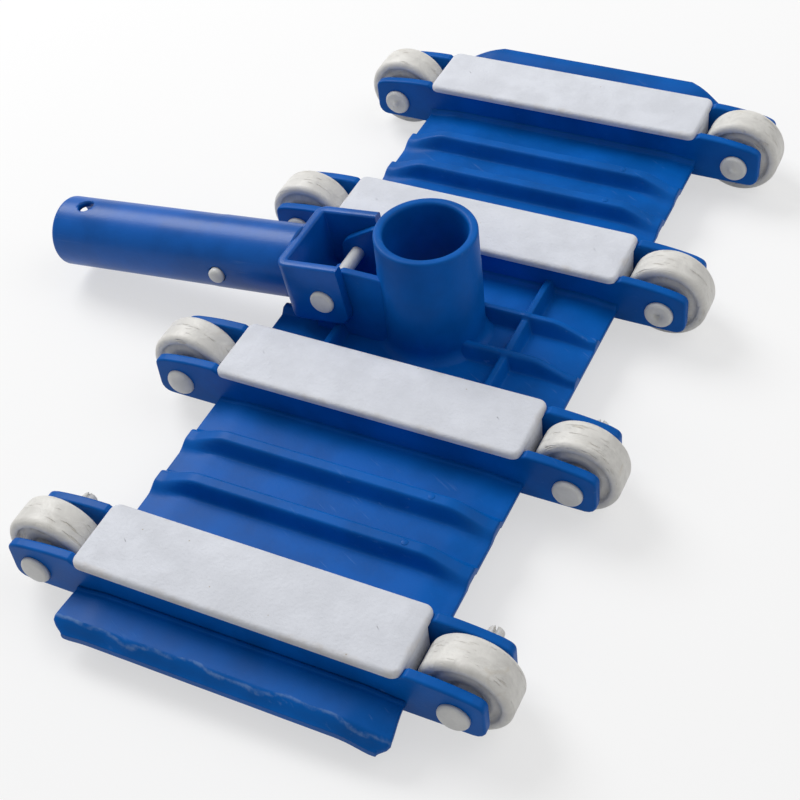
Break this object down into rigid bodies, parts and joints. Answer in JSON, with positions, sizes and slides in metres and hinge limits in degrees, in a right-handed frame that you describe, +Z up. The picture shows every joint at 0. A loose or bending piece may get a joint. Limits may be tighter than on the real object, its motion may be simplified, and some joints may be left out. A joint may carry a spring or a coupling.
{
  "type": "pool vacuum head",
  "caption": "Flexible weighted pool vacuum head on wheels, with a hose connector tube and a pivoting pole handle with spring lock buttons.",
  "frame": {"origin": "on the floor under the wheels, below the axis of the hose connector", "axes": "+Z up along the hose connector, +Y along the head, -X towards the pole handle's free end"},
  "size_m": [0.2594, 0.3445, 0.062],
  "materials": {
    "body_blue": "flexible moulded plastic, soft sheen, scuffed",
    "handle_blue": "moulded plastic, satin gloss with scratches",
    "cover_white": "cool white, lightly mottled and stained",
    "wheel_cream": "worn cream white with yellow-brown stains",
    "pin_white": "white plastic, slightly stained",
    "screw_steel": "stainless screws",
    "ballast_iron": "dark cast iron bars, sealed inside the covers",
    "clip_steel": "stainless spring strip",
    "button_white": "white plastic domes"
  },
  "bodies": {
    "center_section": {"body_center": "body_blue", "weight_cover_2": "cover_white", "ballast_2": "ballast_iron", "cover_screws_2": "screw_steel", "axle_2_left": "pin_white", "axle_2_right": "pin_white", "weight_cover_3": "cover_white", "ballast_3": "ballast_iron", "cover_screws_3": "screw_steel", "axle_3_left": "pin_white", "axle_3_right": "pin_white", "pivot_pin": "pin_white"},
    "near_section": {"body_near": "body_blue", "weight_cover_1": "cover_white", "ballast_1": "ballast_iron", "cover_screws_1": "screw_steel", "axle_1_left": "pin_white", "axle_1_right": "pin_white"},
    "far_section": {"body_far": "body_blue", "weight_cover_4": "cover_white", "ballast_4": "ballast_iron", "cover_screws_4": "screw_steel", "axle_4_left": "pin_white", "axle_4_right": "pin_white"},
    "pole_handle": {"handle": "handle_blue", "clip_bow": "clip_steel"},
    "lock_button_near": {"clip_arm_near": "clip_steel", "clip_button_near": "button_white"},
    "lock_button_far": {"clip_arm_far": "clip_steel", "clip_button_far": "button_white"},
    "wheel_body_1_left": {"wheel_1_left": "wheel_cream"},
    "wheel_body_1_right": {"wheel_1_right": "wheel_cream"},
    "wheel_body_2_left": {"wheel_2_left": "wheel_cream"},
    "wheel_body_2_right": {"wheel_2_right": "wheel_cream"},
    "wheel_body_3_left": {"wheel_3_left": "wheel_cream"},
    "wheel_body_3_right": {"wheel_3_right": "wheel_cream"},
    "wheel_body_4_left": {"wheel_4_left": "wheel_cream"},
    "wheel_body_4_right": {"wheel_4_right": "wheel_cream"}
  },
  "joints": [
    {"name": "near_flex", "type": "hinge", "parent": "center_section", "child": "near_section", "pos_m": [0, -0.094, 0.0138], "axis": [1, 0, 0], "range_deg": [-12, 12], "stiffness_Nm_per_rad": 1.5},
    {"name": "far_flex", "type": "hinge", "parent": "center_section", "child": "far_section", "pos_m": [0, 0.094, 0.0138], "axis": [-1, 0, 0], "range_deg": [-12, 12], "stiffness_Nm_per_rad": 1.5},
    {"name": "wheel_1_left_spin", "type": "hinge", "parent": "near_section", "child": "wheel_body_1_left", "pos_m": [-0.0765, -0.141, 0.016], "axis": [0, 1, 0], "continuous": true},
    {"name": "wheel_1_right_spin", "type": "hinge", "parent": "near_section", "child": "wheel_body_1_right", "pos_m": [0.0765, -0.141, 0.016], "axis": [0, 1, 0], "continuous": true},
    {"name": "wheel_2_left_spin", "type": "hinge", "parent": "center_section", "child": "wheel_body_2_left", "pos_m": [-0.0765, -0.047, 0.016], "axis": [0, 1, 0], "continuous": true},
    {"name": "wheel_2_right_spin", "type": "hinge", "parent": "center_section", "child": "wheel_body_2_right", "pos_m": [0.0765, -0.047, 0.016], "axis": [0, 1, 0], "continuous": true},
    {"name": "wheel_3_left_spin", "type": "hinge", "parent": "center_section", "child": "wheel_body_3_left", "pos_m": [-0.0765, 0.047, 0.016], "axis": [0, 1, 0], "continuous": true},
    {"name": "wheel_3_right_spin", "type": "hinge", "parent": "center_section", "child": "wheel_body_3_right", "pos_m": [0.0765, 0.047, 0.016], "axis": [0, 1, 0], "continuous": true},
    {"name": "wheel_4_left_spin", "type": "hinge", "parent": "far_section", "child": "wheel_body_4_left", "pos_m": [-0.0765, 0.141, 0.016], "axis": [0, 1, 0], "continuous": true},
    {"name": "wheel_4_right_spin", "type": "hinge", "parent": "far_section", "child": "wheel_body_4_right", "pos_m": [0.0765, 0.141, 0.016], "axis": [0, 1, 0], "continuous": true},
    {"name": "handle_pivot", "type": "hinge", "parent": "center_section", "child": "pole_handle", "pos_m": [-0.036, 0, 0.033], "axis": [0, 1, 0], "range_deg": [0, 97]},
    {"name": "button_near_press", "type": "slide", "parent": "pole_handle", "child": "lock_button_near", "axis": [0, 1, 0], "range_m": [0, 0.0024], "stiffness_N_per_m": 2500},
    {"name": "button_far_press", "type": "slide", "parent": "pole_handle", "child": "lock_button_far", "axis": [0, -1, 0], "range_m": [0, 0.0024], "stiffness_N_per_m": 2500}
  ]
}
